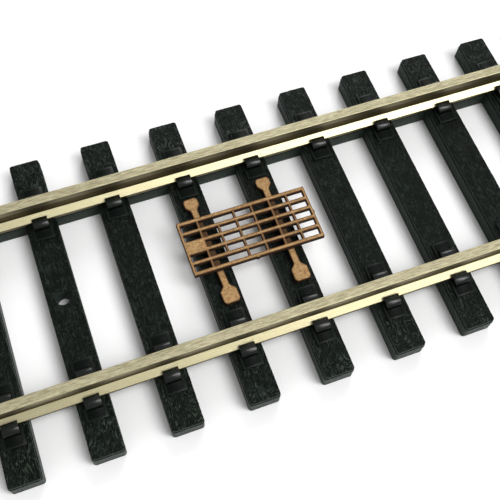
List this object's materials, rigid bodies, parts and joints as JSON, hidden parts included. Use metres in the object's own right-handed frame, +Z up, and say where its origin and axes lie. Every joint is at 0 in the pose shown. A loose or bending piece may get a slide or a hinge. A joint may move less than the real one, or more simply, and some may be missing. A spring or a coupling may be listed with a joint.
{
  "type": "straight model railway track piece",
  "caption": "Short straight model railway track: two sliding metal rails in clips on black moulded sleepers, folded rail joiners, and a laser-cut loop grid on bearers between the rails.",
  "frame": {"origin": "middle of the track, on the surface that the sleepers lie on", "axes": "+X along the rails to the right end, +Y across the track towards the far rail, +Z up out of the sleepers"},
  "size_m": [0.092, 0.029, 0.0045],
  "materials": {
    "sleeper_plastic": "matte black moulded plastic with raised wood grain",
    "chair_plastic": "smooth satin black moulded plastic",
    "rail_metal": "drawn nickel silver, slightly tarnished",
    "joiner_metal": "folded nickel silver sheet",
    "laser_cut_board": "thin tan fibre board with burnt brown laser-cut edges"
  },
  "bodies": {
    "track_base": {"sleeper_01": "sleeper_plastic", "sleeper_02": "sleeper_plastic", "sleeper_03": "sleeper_plastic", "sleeper_04": "sleeper_plastic", "sleeper_05": "sleeper_plastic", "sleeper_06": "sleeper_plastic", "sleeper_07": "sleeper_plastic", "sleeper_08": "sleeper_plastic", "sleeper_09": "sleeper_plastic", "sleeper_10": "sleeper_plastic", "sleeper_11": "sleeper_plastic", "sleeper_12": "sleeper_plastic", "near_bars": "sleeper_plastic", "far_bars": "sleeper_plastic", "near_chair_02": "chair_plastic", "near_chair_03": "chair_plastic", "near_chair_04": "chair_plastic", "near_chair_05": "chair_plastic", "near_chair_06": "chair_plastic", "near_chair_07": "chair_plastic", "near_chair_08": "chair_plastic", "near_chair_09": "chair_plastic", "near_chair_10": "chair_plastic", "near_chair_11": "chair_plastic", "far_chair_02": "chair_plastic", "far_chair_03": "chair_plastic", "far_chair_04": "chair_plastic", "far_chair_05": "chair_plastic", "far_chair_06": "chair_plastic", "far_chair_07": "chair_plastic", "far_chair_08": "chair_plastic", "far_chair_09": "chair_plastic", "far_chair_10": "chair_plastic", "far_chair_11": "chair_plastic", "loop_grid": "laser_cut_board", "left_bearer": "laser_cut_board", "right_bearer": "laser_cut_board"},
    "near_rail": {"near_rail": "rail_metal"},
    "far_rail": {"far_rail": "rail_metal"},
    "near_joiner": {"near_joiner": "joiner_metal"},
    "far_joiner": {"far_joiner": "joiner_metal"}
  },
  "joints": [
    {"name": "near_rail_slide", "type": "slide", "parent": "track_base", "child": "near_rail", "axis": [1, 0, 0], "range_m": [-0.0005, 0.0005]},
    {"name": "far_rail_slide", "type": "slide", "parent": "track_base", "child": "far_rail", "axis": [1, 0, 0], "range_m": [-0.0005, 0.0005]},
    {"name": "near_joiner_slide", "type": "slide", "parent": "near_rail", "child": "near_joiner", "axis": [1, 0, 0], "range_m": [-0.0042, 0.0035]},
    {"name": "far_joiner_slide", "type": "slide", "parent": "far_rail", "child": "far_joiner", "axis": [-1, 0, 0], "range_m": [-0.0042, 0.0035]}
  ]
}
